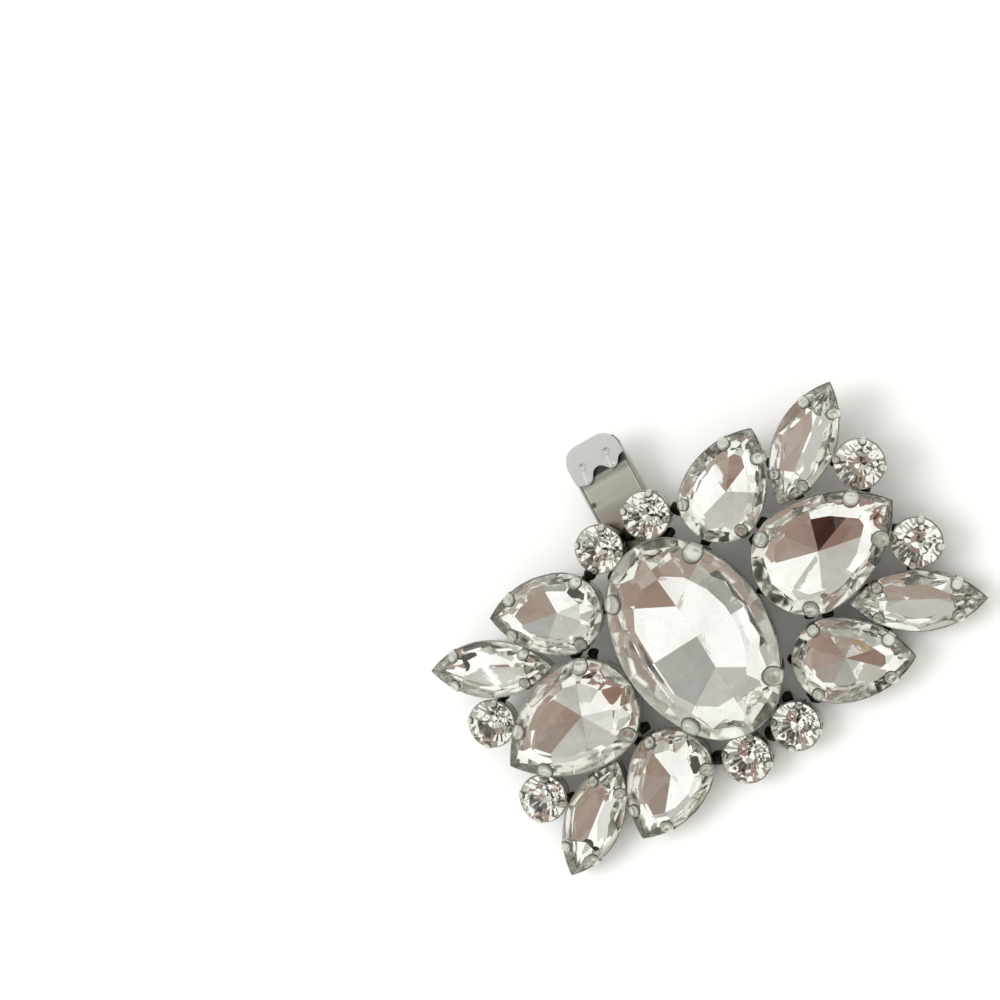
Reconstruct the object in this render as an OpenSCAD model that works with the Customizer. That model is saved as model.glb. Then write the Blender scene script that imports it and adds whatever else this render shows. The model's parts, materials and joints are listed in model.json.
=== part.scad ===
// Shoe clip with nineteen clear foil-backed stones in soldered claw cups.
// It lies face up on a flat surface, on the hinge of its opened clip and
// on the backs of two cups. Lengths are in millimetres.

/* [Stones] */
// Length of the oval centre stone
oval_l = 25; // [24:0.1:25]
// Width of the oval centre stone
oval_w = 18; // [17:0.1:18]
// Length of each of the two large pear stones
big_pear_l = 18; // [17:0.1:18]
// Width of each large pear stone
big_pear_w = 12.6; // [12:0.1:12.6]
// Length of each of the four smaller pear stones
pear_l = 13.8; // [13:0.1:13.8]
// Width of each smaller pear stone
pear_w = 9.7; // [9:0.1:9.7]
// Length of each of the four navette stones
navette_l = 15; // [14:0.1:15]
// Width of each navette stone
navette_w = 6.8; // [6.4:0.1:6.8]
// Diameter of each of the eight round stones
round_d = 5.6; // [5:0.1:5.6]

/* [Layout] */
// Turn of the oval from square, in degrees
oval_turn = -2.5; // [-3:0.5:0]
// Distance of a large pear from the centre
big_pear_x = 18.7; // [18.6:0.1:19]
// Smaller pear, distance from the centre along the ornament
pear_x = 13.5; // [13.4:0.1:13.8]
// Smaller pear, distance from the centre across the ornament
pear_y = 12.3; // [12.2:0.1:12.6]
// Smaller pear, angle of its tip from the long axis
pear_turn = 31; // [29:1:32]
// Navette, distance from the centre along the ornament
navette_x = 23.3; // [23.2:0.1:23.6]
// Navette, distance from the centre across the ornament
navette_y = 10.9; // [10.8:0.1:11.2]
// Navette, angle from the long axis
navette_turn = 32; // [31:1:33]
// End round, distance from the centre along the ornament
end_round_x = 27.1; // [27:0.1:27.3]
// End round, distance from the centre across the ornament
end_round_y = 5.45; // [5.4:0.05:5.5]
// Side round, distance from the centre along the ornament
side_round_x = 3.5; // [3.4:0.1:3.6]
// Side round, distance from the centre across the ornament
side_round_y = 14.95; // [14.9:0.05:15.2]

/* [Setting] */
// Clearance between a stone and its cup
stone_gap = 0.05; // [0.04:0.01:0.06]
// Thickness of a cup's wall
cup_wall = 0.25; // [0.2:0.05:0.25]
// Thickness of the inward rim at the back of a cup
cup_floor = 0.4; // [0.3:0.05:0.5]
// Radius of a drop of solder between two cups
solder_r = 0.85; // [0.7:0.05:0.9]
// Height of a drop of solder
solder_h = 1.7; // [1.2:0.1:2]

/* [Clip] */
// Turn of the clip from square under the ornament, in degrees
clip_turn = -7; // [-8:1:-5]
// Sideways place of the clip's middle line at the ornament's long axis
clip_x = -1.4; // [-1.5:0.1:-1]
// Width of the base plate
base_w = 7.6; // [7.4:0.1:8]
// Reach of the base plate behind the ornament's long axis
base_back = 11; // [10:0.5:12]
// Thickness of the base plate
base_t = 0.8; // [0.7:0.05:0.8]
// Distance of the hinge pin from the ornament's long axis
pivot_y = 9.5; // [9:0.1:10]
// Depth of the hinge pin's centre below the cups' backs
pivot_depth = 2.4; // [2.4:0.05:2.5]
// Diameter of the hinge pin
pin_d = 1; // [0.9:0.05:1]
// Outer width of the lever
lever_w = 7.2; // [7:0.1:7.4]
// Length of the lever from the pin to the tip
lever_l = 17.4; // [16.5:0.1:18]
// Thickness of the lever's and ears' sheet
sheet_t = 0.5; // [0.45:0.05:0.5]
// Height of a gripping tooth above the lever's inner face
tooth_h = 0.9; // [0.7:0.1:0.9]

/* [Hidden] */
$fn = 64;

// A cut is a row with these columns: shape, length, width, height of the
// girdle above the cup's back, height of the crown, depth of the
// pavilion, number of main facets, share of the outline that the table
// takes, width of a claw, and its reach over the crown.
SHAPE = 0; LENGTH = 1; WIDTH = 2; GIRDLE_Z = 3; CROWN = 4;
PAVILION = 5; MAINS = 6; TABLE = 7; CLAW_W = 8; CLAW_REACH = 9;
OVAL = ["oval", oval_l, oval_w, 5.2, 2.1, 4.6, 16, 0.64, 1.7, 1.3];
BIG_PEAR = ["pear", big_pear_l, big_pear_w, 4.2, 1.6, 3.5, 14, 0.62, 1.6, 1.2];
PEAR = ["pear", pear_l, pear_w, 3.4, 1.3, 2.8, 12, 0.6, 1.3, 1];
NAVETTE = ["navette", navette_l, navette_w, 2.9, 1.2, 2.3, 12, 0.56, 1.2, 0.9];
ROUND = ["round", round_d, round_d, 3.2, 1.1, 2.5, 8, 0.5, 0.8, 0.6];

// A stone is a row with these columns: name, cut, place along, place
// across, and direction of its tip or long axis.
QUARTERS = [[1, 1], [1, -1], [-1, 1], [-1, -1]];
function quarter_turn(q, a) = q[0] > 0 ? q[1] * a : 180 - q[1] * a;
function four(name, cut, x, y, a) = [for (i = [0:3])
    [str(name, "_", i + 1), cut, QUARTERS[i][0] * x, QUARTERS[i][1] * y,
     quarter_turn(QUARTERS[i], a)]];
STONES = concat(
    [["oval_stone", OVAL, 0, 0, 90 + oval_turn],
     ["big_pear_stone_1", BIG_PEAR, big_pear_x, 0, 0],
     ["big_pear_stone_2", BIG_PEAR, -big_pear_x, 0, 180]],
    four("pear_stone", PEAR, pear_x, pear_y, pear_turn),
    four("navette_stone", NAVETTE, navette_x, navette_y, navette_turn),
    four("end_round_stone", ROUND, end_round_x, end_round_y, 0),
    four("side_round_stone", ROUND, side_round_x, side_round_y, 0));

// Outlines of the cuts, with their long axis along x. An oval is four
// arcs, a pear is a half circle and two arcs, a navette is two arcs.
function oval_end_r(c) = 0.4 * c[WIDTH];
function oval_end_x(c) = c[LENGTH] / 2 - oval_end_r(c);
function oval_side_r(c) = (pow(oval_end_x(c), 2) + pow(c[WIDTH] / 2, 2)
    - pow(oval_end_r(c), 2)) / (c[WIDTH] - 2 * oval_end_r(c));
function pear_round_x(c) = c[WIDTH] / 2 - c[LENGTH] / 2;
function pear_tip_l(c) = c[LENGTH] - c[WIDTH] / 2;
function pear_side_r(c) = pow(pear_tip_l(c), 2) / c[WIDTH] + c[WIDTH] / 4;
function navette_r(c) = pow(c[LENGTH], 2) / (4 * c[WIDTH]) + c[WIDTH] / 4;

module lens(r, half_w, centre_x) {
    intersection() {
        translate([centre_x, half_w - r]) circle(r);
        translate([centre_x, r - half_w]) circle(r);
    }
}

// The outline grown by a wall or a clearance
module outline(c, grow) {
    if (c[SHAPE] == "oval") {
        side = oval_side_r(c) + grow;
        joint_x = oval_end_x(c) * side / (oval_side_r(c) - oval_end_r(c));
        intersection() {
            lens(side, c[WIDTH] / 2 + grow, 0, $fn = 128);
            square([2 * joint_x, 2 * c[WIDTH]], center = true);
        }
        for (s = [-1, 1])
            translate([s * oval_end_x(c), 0]) circle(oval_end_r(c) + grow);
    }
    if (c[SHAPE] == "pear") {
        intersection() {
            lens(pear_side_r(c) + grow, c[WIDTH] / 2 + grow, pear_round_x(c), $fn = 128);
            translate([pear_round_x(c), -c[WIDTH]])
                square([2 * c[LENGTH], 2 * c[WIDTH]]);
        }
        translate([pear_round_x(c), 0]) circle(c[WIDTH] / 2 + grow);
    }
    if (c[SHAPE] == "navette")
        lens(navette_r(c) + grow, c[WIDTH] / 2 + grow, 0, $fn = 128);
    if (c[SHAPE] == "round")
        circle(c[WIDTH] / 2 + grow);
}

// The same outline as points, n to a whole turn, starting at the tip. The
// oval's points lie on an ellipse that keeps just inside its four arcs.
oval_slack = 0.06;
function arc(x, y, r, from, to, n) = [for (i = [0:n - 1])
    let (a = from + (to - from) * i / n) [x + r * cos(a), y + r * sin(a)]];
function rim(c, n) =
    c[SHAPE] == "pear"
        ? let (x = pear_round_x(c), r = c[WIDTH] / 2, side = pear_side_r(c),
               tip = atan2(side - r, pear_tip_l(c)))
          concat(arc(x, r - side, side, tip, 90, n / 4),
                 arc(x, 0, r, 90, 270, n / 2),
                 arc(x, side - r, side, 270, 360 - tip, n / 4))
    : c[SHAPE] == "navette"
        ? let (r = navette_r(c), y = r - c[WIDTH] / 2, tip = atan2(y, c[LENGTH] / 2))
          concat(arc(0, -y, r, tip, 180 - tip, n / 2),
                 arc(0, y, r, 180 + tip, 360 - tip, n / 2))
    : let (slack = c[SHAPE] == "oval" ? oval_slack : 0)
      [for (i = [0:n - 1]) [(c[LENGTH] / 2 - slack) * cos(360 * i / n),
                            (c[WIDTH] / 2 - slack) * sin(360 * i / n)]];

// Point under which the pavilion ends
function keel_x(c) = c[SHAPE] == "pear" ? pear_round_x(c) / 2 : 0;
function ring(c, points, share, z, odd) = [for (i = [odd:2:len(points) - 1])
    [keel_x(c) + share * (points[i][0] - keel_x(c)), share * points[i][1], z]];

// The crown has two rows of facets. Its outline shrinks towards the keel
// point: to the mid share after the steep first row, which takes most of
// the crown's height, and to the table's share at the top. The pavilion's
// first row ends at a share of the outline and a share of the depth.
girdle_t = 0.3;
steep_rise = 0.62;
kite_share = 0.45;
kite_depth = 0.62;
function mid_share(c) = (1 + c[TABLE]) / 2 + 0.02;
function crown_rise(c) = c[CROWN] - girdle_t / 2;

// A cut stone: table, two rows of crown facets, girdle, and a pavilion
// of kites that meet in a point. Its girdle lies at GIRDLE_Z.
module cut_stone(c) {
    m = c[MAINS];
    points = rim(c, 2 * m);
    top = c[GIRDLE_Z] + girdle_t / 2;
    low = c[GIRDLE_Z] - girdle_t / 2;
    rings = concat(
        [[keel_x(c), 0, c[GIRDLE_Z] - c[PAVILION]]],
        ring(c, points, kite_share, low - kite_depth * (c[PAVILION] - girdle_t / 2), 1),
        [for (p = points) [p[0], p[1], low]],
        [for (p = points) [p[0], p[1], top]],
        ring(c, points, mid_share(c), top + steep_rise * crown_rise(c), 1),
        ring(c, points, c[TABLE], c[GIRDLE_Z] + c[CROWN], 0));
    deep = 1;
    base = deep + m;
    edge = base + 2 * m;
    mid = edge + 2 * m;
    table = mid + m;
    // Main facet i has its girdle corner at point 2 i
    faces = concat(
        [[for (i = [m - 1:-1:0]) table + i]],
        [for (i = [0:m - 1]) let (j = (i + 1) % m, h = (i + m - 1) % m,
                                  a = 2 * i, b = 2 * i + 1, d = (2 * i + 2) % (2 * m))
            each [
                [table + i, table + j, mid + i],
                [mid + h, table + i, mid + i], [mid + h, mid + i, edge + a],
                [mid + i, edge + b, edge + a], [mid + i, edge + d, edge + b],
                [edge + a, edge + b, base + b], [edge + a, base + b, base + a],
                [edge + b, edge + d, base + d], [edge + b, base + d, base + b],
                [base + a, base + b, deep + i], [base + b, base + d, deep + i],
                [base + a, deep + i, deep + h], [deep + h, deep + i, 0]
            ]]);
    polyhedron(points = rings, faces = faces, convexity = 4);
}

// Places where claws stand on the rim: point and outward direction
function on_arc(x, y, r, a) = [x + r * cos(a), y + r * sin(a), a];
function claw_spots(c) =
    c[SHAPE] == "oval"
        ? [for (a = [45:90:315]) [c[LENGTH] / 2 * cos(a), c[WIDTH] / 2 * sin(a),
            atan2(c[LENGTH] * sin(a), c[WIDTH] * cos(a))]]
    : c[SHAPE] == "pear"
        ? [for (s = [-1, 1]) each [
            on_arc(pear_round_x(c), 0, c[WIDTH] / 2, s * 120),
            on_arc(pear_round_x(c), s * (c[WIDTH] / 2 - pear_side_r(c)), pear_side_r(c), s * 52)]]
    : c[SHAPE] == "navette"
        ? [for (s = [-1, 1], a = [62, 118])
            on_arc(0, s * (c[WIDTH] / 2 - navette_r(c)), navette_r(c), s * a)]
    : [for (a = [45:90:315]) on_arc(0, 0, c[WIDTH] / 2, a)];

// Height of the crown over the girdle's top edge, at a distance in from
// the outline where the keel point lies d behind the outline
function crown_z(c, d, in) =
    let (steep = (1 - mid_share(c)) * d, flat = (mid_share(c) - c[TABLE]) * d)
    in < steep ? steep_rise * crown_rise(c) * in / steep
        : crown_rise(c) * (steep_rise + (1 - steep_rise) * (in - steep) / flat);

// A claw: a stem in the cup's wall, and a round tip bent over the crown
claw_t = 0.5;
claw_lift = 0.1;
module claw(c, d) {
    outer = stone_gap + cup_wall;
    reach = c[CLAW_REACH];
    steep = min((1 - mid_share(c)) * d, 0.6 * reach);
    shoulder = c[GIRDLE_Z] + girdle_t / 2 + claw_lift;
    knee = shoulder + crown_z(c, d, steep);
    tip = shoulder + crown_z(c, d, reach);
    intersection() {
        rotate([90, 0, 0]) linear_extrude(c[CLAW_W], center = true)
            polygon([[stone_gap, cup_floor], [outer, cup_floor],
                [outer, shoulder + 0.2 * claw_t], [0.6 * stone_gap, shoulder + 0.8 * claw_t],
                [-steep, knee + claw_t], [-0.8 * reach, tip + 0.7 * claw_t],
                [-reach, tip + 0.3 * claw_t], [-reach, tip], [-steep, knee],
                [0.02, shoulder], [stone_gap, shoulder - claw_lift]]);
        translate([c[CLAW_W] / 2 - reach, 0, 0]) {
            cylinder(2 * c[GIRDLE_Z], d = c[CLAW_W]);
            translate([0, -c[CLAW_W], 0]) cube([reach, 2 * c[CLAW_W], 2 * c[GIRDLE_Z]]);
        }
    }
}

module at_stone(s) {
    translate([s[2], s[3], 0]) rotate([0, 0, s[4]]) children();
}

// Drops of solder where neighbouring cups meet, in one quarter
SOLDER = [[9.4, 0], [7.2, 8.9], [2.7, 12.1], [13.8, 6.5], [18.3, 6.5],
    [25.3, 3.1], [18.1, 10.6], [6.8, 13.6], [25.6, 8.1], [0, 15]];

// Width of a cup's inward back rim, as a share of the stone's width
back_rim = 0.16;

module cups_and_solder() {
    difference() {
        union() {
            for (s = STONES) at_stone(s)
                linear_extrude(s[1][GIRDLE_Z]) outline(s[1], stone_gap + cup_wall);
            for (q = QUARTERS, p = SOLDER)
                if ((p[0] > 0 || q[0] > 0) && (p[1] > 0 || q[1] > 0))
                    translate([q[0] * p[0], q[1] * p[1], 0]) cylinder(solder_h, r = solder_r);
        }
        for (s = STONES) at_stone(s) {
            translate([0, 0, cup_floor])
                linear_extrude(s[1][GIRDLE_Z]) outline(s[1], stone_gap);
            translate([0, 0, -cup_floor])
                linear_extrude(3 * cup_floor) outline(s[1], -back_rim * s[1][WIDTH]);
        }
    }
}

// The clip's own frame, turned under the ornament
module in_clip() {
    translate([clip_x, 0, 0]) rotate([0, 0, clip_turn]) children();
}

// How the whole clip lies: the floor touches the back edge of the side
// rounds' cups and the round of one hinge ear. The origin is the point
// of the base plate's bearing face under the ornament's long axis.
solder_film = 0.05;
base_back_z = -solder_film - base_t;
ear_x = 2.7;
ear_r = 1.4;
rest_edge_y = side_round_y + round_d / 2 + stone_gap + cup_wall;
rest_ear_y = pivot_y * cos(clip_turn) + (ear_x + sheet_t / 2) * sin(clip_turn);
rest_run = rest_ear_y + rest_edge_y;
rest_tilt = atan2(pivot_depth, rest_run)
    + asin(ear_r / norm([rest_run, pivot_depth]));
module lying() {
    rotate([rest_tilt, 0, 0]) translate([-clip_x, 0, -base_back_z]) children();
}

module setting_frame() {
    color("silver") lying() {
        cups_and_solder();
        for (s = STONES) at_stone(s)
            for (k = claw_spots(s[1]))
                translate([k[0], k[1], 0]) rotate([0, 0, k[2]])
                    claw(s[1], (k[0] - keel_x(s[1])) * cos(k[2]) + k[1] * sin(k[2]));
    }
}

pin_fit = 0.02;
base_end = 0.6;
base_corner = 1.5;

// The plate is thinner at the hinge, so its bearing face ends before the ears
hinge_step = 0.15;
bearing_end = pivot_y - ear_r - 0.5;

module across(r, w) {
    rotate([0, 90, 0]) cylinder(w, r = r, center = true);
}

module clip_base() {
    color("gainsboro") lying() in_clip() difference() {
        union() {
            translate([0, 0, base_back_z]) linear_extrude(base_t) {
                for (x = [-1, 1])
                    translate([x * (base_w / 2 - base_corner), base_corner - base_back])
                        circle(base_corner);
                translate([-base_w / 2, base_corner - base_back])
                    square([base_w, base_back - base_corner + bearing_end]);
                translate([base_corner - base_w / 2, -base_back])
                    square([base_w - 2 * base_corner, 2 * base_corner]);
            }
            translate([-base_w / 2, bearing_end - base_corner, base_back_z + hinge_step])
                cube([base_w, base_corner + pivot_y + base_end - bearing_end, base_t - hinge_step]);
            for (x = [-ear_x, ear_x]) translate([x, pivot_y, -pivot_depth]) {
                across(ear_r, sheet_t);
                translate([-sheet_t / 2, -ear_r, 0])
                    cube([sheet_t, ear_r + base_end, pivot_depth + base_back_z + 2 * hinge_step]);
            }
        }
        translate([0, pivot_y, -pivot_depth]) across(pin_d / 2 + pin_fit, base_w);
    }
}

flange_x = (lever_w - sheet_t) / 2;
module hinge_pin() {
    head_t = 0.3;
    color("silver") lying() in_clip() translate([0, pivot_y, -pivot_depth]) {
        across(pin_d / 2, lever_w + 0.2 + 2 * head_t);
        for (s = [-1, 1])
            translate([s * (lever_w / 2 + 0.1 + head_t / 2), 0, 0]) across(0.8 * pin_d, head_t);
    }
}

// The lever, open: a channel with its two lugs on the pin, its outer
// face upward, and its tip folded back on that face in two lobes
lug_r = 1.3;
sheet_z = 1;
flange_depth = 0.7;
heel_y = 1.6;
lip_gap = 0.15;
fold_l = 0.9;
lobe_r = 1.6;
lobe_y = lever_l - 2.7;
tooth_x = 1.75;
tooth_y = lever_l - 2.2;
tip_corner = 2.2;

// The rounded end of the lever, from a distance along it to the tip
module tip_outline(from) {
    intersection() {
        union() {
            translate([-lever_w / 2, 0]) square([lever_w, lever_l - tip_corner]);
            translate([tip_corner - lever_w / 2, 0])
                square([lever_w - 2 * tip_corner, lever_l]);
            for (x = [-1, 1]) translate([x * (lever_w / 2 - tip_corner), lever_l - tip_corner])
                circle(tip_corner);
        }
        translate([-lever_w, from]) square([2 * lever_w, lever_l]);
    }
}

module lip() {
    top_z = sheet_z + sheet_t + lip_gap;
    translate([0, 0, top_z]) linear_extrude(sheet_t) {
        tip_outline(lobe_y + 0.3);
        for (x = [-1, 1])
            translate([x * (lever_w / 2 - lobe_r - 0.15), lobe_y]) circle(lobe_r);
    }
    translate([0, 0, sheet_z]) linear_extrude(2 * sheet_t + lip_gap)
        tip_outline(lever_l - fold_l);
}

module clip_lever() {
    top_z = sheet_z + 2 * sheet_t + lip_gap;
    color("gainsboro") lying() in_clip() translate([0, pivot_y, -pivot_depth]) difference() {
        union() {
            for (x = [-flange_x, flange_x]) translate([x, 0, 0]) {
                across(lug_r, sheet_t);
                rotate([90, 0, 90]) linear_extrude(sheet_t, center = true)
                    polygon([[0, lug_r], [heel_y, sheet_z + sheet_t],
                        [lobe_y, sheet_z + sheet_t], [lobe_y, sheet_z],
                        [lobe_y - 2, sheet_z - flange_depth],
                        [2 * heel_y, sheet_z - flange_depth], [0.9, -0.9], [0, -lug_r]]);
            }
            translate([0, 0, sheet_z]) linear_extrude(sheet_t) tip_outline(heel_y);
            lip();
            for (x = [-tooth_x, tooth_x]) translate([x, tooth_y, sheet_z - tooth_h])
                cylinder(tooth_h + 0.1, r1 = 0.15, r2 = 0.6);
        }
        across(pin_d / 2 + 0.05, 2 * lever_w);
        for (x = [-tooth_x, tooth_x]) translate([x, tooth_y, top_z - 0.35])
            cylinder(0.4, r1 = 0.15, r2 = 0.5);
    }
}

for (s = STONES)
    color("white") lying() at_stone(s) cut_stone(s[1]);
setting_frame();
clip_base();
hinge_pin();
clip_lever();
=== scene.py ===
# A loose shoe clip: nineteen clear foil-backed stones in soldered claw cups,
# lying face up with the clip behind it swung open.
# Shapes are worked out in millimetres in the ornament's own frame, whose x
# runs along the ornament, y towards the clip's tip and z out of its face.
import json
import math
import random

import bmesh
import bpy
from mathutils import Matrix, Vector


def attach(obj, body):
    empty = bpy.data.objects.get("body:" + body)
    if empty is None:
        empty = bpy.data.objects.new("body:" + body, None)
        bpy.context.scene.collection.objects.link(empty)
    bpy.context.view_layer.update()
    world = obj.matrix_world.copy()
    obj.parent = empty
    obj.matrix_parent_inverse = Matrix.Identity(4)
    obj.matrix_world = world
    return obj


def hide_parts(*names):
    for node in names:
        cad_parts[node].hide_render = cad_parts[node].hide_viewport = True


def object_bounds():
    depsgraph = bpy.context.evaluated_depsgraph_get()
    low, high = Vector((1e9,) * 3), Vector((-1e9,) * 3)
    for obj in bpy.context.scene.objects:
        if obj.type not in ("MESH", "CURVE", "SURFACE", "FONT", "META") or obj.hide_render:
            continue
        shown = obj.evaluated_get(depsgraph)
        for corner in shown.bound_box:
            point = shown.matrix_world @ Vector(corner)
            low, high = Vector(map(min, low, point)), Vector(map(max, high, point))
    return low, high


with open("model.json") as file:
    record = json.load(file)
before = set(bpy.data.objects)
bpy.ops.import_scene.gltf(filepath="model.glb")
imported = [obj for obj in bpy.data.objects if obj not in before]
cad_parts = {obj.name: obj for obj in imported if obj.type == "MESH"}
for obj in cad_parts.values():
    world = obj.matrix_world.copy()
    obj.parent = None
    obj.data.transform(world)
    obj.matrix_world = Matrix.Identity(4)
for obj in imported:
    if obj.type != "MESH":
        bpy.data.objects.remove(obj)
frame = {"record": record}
cad_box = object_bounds()

# Millimetres to metres, and how the ornament lies on the floor: the mount on
# its base plate gives the tilt, and the origin lies on that plate
MM = 0.001
mounts = {m["name"]: m for m in frame["record"]["mounts"]}
face_normal = mounts["shoe_face"]["axis"]
rest_tilt = math.atan2(face_normal[1], -face_normal[2])
clip_x = -1.4
clip_turn = math.radians(-7)
solder_film = 0.05
base_t = 0.8
base_back_z = -solder_film - base_t
LYING = (Matrix.Scale(MM, 4) @ Matrix.Rotation(rest_tilt, 4, "X")
         @ Matrix.Translation((-clip_x, 0, -base_back_z)))
IN_CLIP = Matrix.Translation((clip_x, 0, 0)) @ Matrix.Rotation(clip_turn, 4, "Z")


def mirrored(*degrees):
    """Directions on both sides of the long axis."""
    return [side * d for d in degrees for side in (1, -1) if side > 0 or d % 180]


# Cuts of the stones. The girdle is a height above the cup's back and the table
# a share of the outline. Each row of pavilion facets gives the directions that
# they face in degrees, a point that they pass through as shares of half the
# width and of the depth, and their slope in degrees. A skirt gives how many
# facets start evenly round the girdle, and their slope. The claws give a width
# and a reach.
OVAL = dict(shape="oval", length=25, width=18, girdle=5.2, crown=2.1, pavilion=4.6,
            mains=16, table=0.64, claw_w=2.4, claw_reach=2.05,
            keel=[(mirrored(50, 130), (0, 1), 12.5),
                  (mirrored(16, 164), (0.45, 0.865), 17),
                  (mirrored(67, 113), (0.61, 0.77), 21)],
            skirt=(12, 48))
PEAR_KEEL = [(mirrored(0), (0, 1), 11.7),
             (mirrored(41, 93), (0, 1), 12.5),
             (mirrored(140, 180), (0, 1), 12),
             (mirrored(17), (0.92, 0.66), 20),
             (mirrored(68, 118), (0.65, 0.76), 21),
             (mirrored(161), (0.79, 0.7), 21)]
BIG_PEAR = dict(shape="pear", length=18, width=12.6, girdle=4.2, crown=1.6, pavilion=3.5,
                mains=12, table=0.62, claw_w=1.95, claw_reach=1.7, keel=PEAR_KEEL, skirt=(12, 48))
PEAR = dict(shape="pear", length=13.8, width=9.7, girdle=3.4, crown=1.3, pavilion=2.8,
            mains=10, table=0.6, claw_w=1.55, claw_reach=1.4, keel=PEAR_KEEL, skirt=(12, 48))
NAVETTE = dict(shape="navette", length=15, width=6.8, girdle=2.9, crown=1.2, pavilion=2.3,
               mains=8, table=0.56, claw_w=1.35, claw_reach=1.3,
               keel=[(mirrored(90), (0, 1), 14), (mirrored(25, 155), (0.93, 1), 20)],
               skirt=(8, 50))
ROUND = dict(shape="round", length=5.6, width=5.6, girdle=3.2, crown=1.1, pavilion=2.5,
             mains=8, table=0.5, claw_w=0.95, claw_reach=0.75,
             keel=[(mirrored(0, 45, 90, 135, 180), (0, 1), 19)], skirt=(16, 46))

QUARTERS = [(1, 1), (1, -1), (-1, 1), (-1, -1)]
# Radius of the oval's ends as a share of half its width
oval_end_share = 0.8


def four(name, cut, x, y, turn):
    """Four stones in mirror halves: name, cut, place and direction of the tip."""
    rows = []
    for i, (sx, sy) in enumerate(QUARTERS):
        direction = sy * turn if sx > 0 else 180 - sy * turn
        rows.append((f"{name}_{i + 1}", cut, sx * x, sy * y, direction))
    return rows


STONES = [("oval_stone", OVAL, 0, 0, 87.5),
          ("big_pear_stone_1", BIG_PEAR, 18.7, 0, 0),
          ("big_pear_stone_2", BIG_PEAR, -18.7, 0, 180)]
STONES += four("pear_stone", PEAR, 13.5, 12.3, 31)
STONES += four("navette_stone", NAVETTE, 23.3, 10.9, 32)
STONES += four("end_round_stone", ROUND, 27.1, 5.45, 0)
STONES += four("side_round_stone", ROUND, 3.5, 14.95, 0)

stone_inset = 0.02
stone_gap = 0.05
cup_wall = 0.25
cup_floor = 0.4
back_rim_share = 0.16
girdle_t = 0.3
# Steps along an outline for the cups, for the stones and where it is measured
cup_step = 0.45
stone_step = 0.3
fine_step = 0.1


# Outlines

def outline_arcs(cut, grow=0.0):
    """The arcs of an outline, from its tip round to its tip: centre, radius, angles."""
    half_l = cut["length"] / 2
    half_w = cut["width"] / 2
    if cut["shape"] == "round":
        return [(0, 0, half_w + grow, 0, math.tau)]
    if cut["shape"] == "oval":
        end_r = oval_end_share * half_w
        end_x = half_l - end_r
        side_r = (end_x ** 2 + half_w ** 2 - end_r ** 2) / (2 * (half_w - end_r))
        join = math.atan2(side_r - half_w, end_x)
        return [(end_x, 0, end_r + grow, 0, join),
                (0, half_w - side_r, side_r + grow, join, math.pi - join),
                (-end_x, 0, end_r + grow, math.pi - join, math.pi + join),
                (0, side_r - half_w, side_r + grow, math.pi + join, math.tau - join),
                (end_x, 0, end_r + grow, math.tau - join, math.tau)]
    if cut["shape"] == "pear":
        round_x = half_w - half_l
        tip_l = cut["length"] - half_w
        side_r = tip_l ** 2 / cut["width"] + cut["width"] / 4
        tip = math.asin((side_r - half_w) / (side_r + grow))
        return [(round_x, half_w - side_r, side_r + grow, tip, math.pi / 2),
                (round_x, 0, half_w + grow, math.pi / 2, 1.5 * math.pi),
                (round_x, side_r - half_w, side_r + grow, 1.5 * math.pi, math.tau - tip)]
    side_r = half_l ** 2 / cut["width"] + cut["width"] / 4
    tip = math.asin((side_r - half_w) / (side_r + grow))
    return [(0, half_w - side_r, side_r + grow, tip, math.pi - tip),
            (0, side_r - half_w, side_r + grow, math.pi + tip, math.tau - tip)]


def outline(cut, grow, step):
    """Points and outward angles along an outline, about a step apart, the same for any growth."""
    points = []
    for (x, y, r, a, b), (_, _, plain_r, c, d) in zip(outline_arcs(cut, grow), outline_arcs(cut)):
        count = max(3, round(plain_r * (d - c) / step))
        for i in range(count):
            angle = a + (b - a) * i / count
            points.append((x + r * math.cos(angle), y + r * math.sin(angle), angle))
    return points


tiny_share = 1e-4


def facing(cut, share):
    """Outward angle at a share of the way round. A tip faces straight out."""
    arcs = outline_arcs(cut)
    lengths = [r * (b - a) for _, _, r, a, b in arcs]

    def angle_at(s):
        left = (s % 1.0) * sum(lengths)
        for (_, _, r, a, _), length in zip(arcs, lengths):
            if left <= length:
                return a + left / r
            left -= length
        return arcs[-1][4]

    before = angle_at(share - tiny_share)
    after = angle_at(share + tiny_share)
    if after < before:
        after += math.tau
    return (before + after) / 2


def keel_x(cut):
    """The pavilion ends under this point."""
    return (cut["width"] - cut["length"]) / 4 if cut["shape"] == "pear" else 0


def support(cut, angle):
    """Distance from the keel to the outline's tangent line that faces an angle."""
    c = math.cos(angle)
    s = math.sin(angle)
    around = outline(cut, -stone_inset, fine_step)
    return max((x - keel_x(cut)) * c + y * s for x, y, _ in around)


# Meshes and objects

def to_mesh(body, name):
    mesh = bpy.data.meshes.new(name)
    body.to_mesh(mesh)
    body.free()
    return mesh


def new_object(name, data):
    """An object in the scene."""
    thing = bpy.data.objects.new(name, data)
    bpy.context.scene.collection.objects.link(thing)
    return thing


def smooth_out(mesh, sharp_degrees):
    """Smooth faces, with edges kept sharp past an angle."""
    mesh.shade_smooth()
    mesh.set_sharp_from_angle(angle=math.radians(sharp_degrees))
    return mesh


# Stones

def slice_off(body, point, normal):
    """Cuts away what lies beyond a plane and closes the cut with one facet."""
    parts = body.verts[:] + body.edges[:] + body.faces[:]
    made = bmesh.ops.bisect_plane(body, geom=parts, plane_co=point, plane_no=normal,
                                  clear_outer=True, dist=1e-5)
    rim = [e for e in made["geom_cut"] if isinstance(e, bmesh.types.BMEdge)]
    if rim:
        bmesh.ops.holes_fill(body, edges=rim, sides=0)


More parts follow.
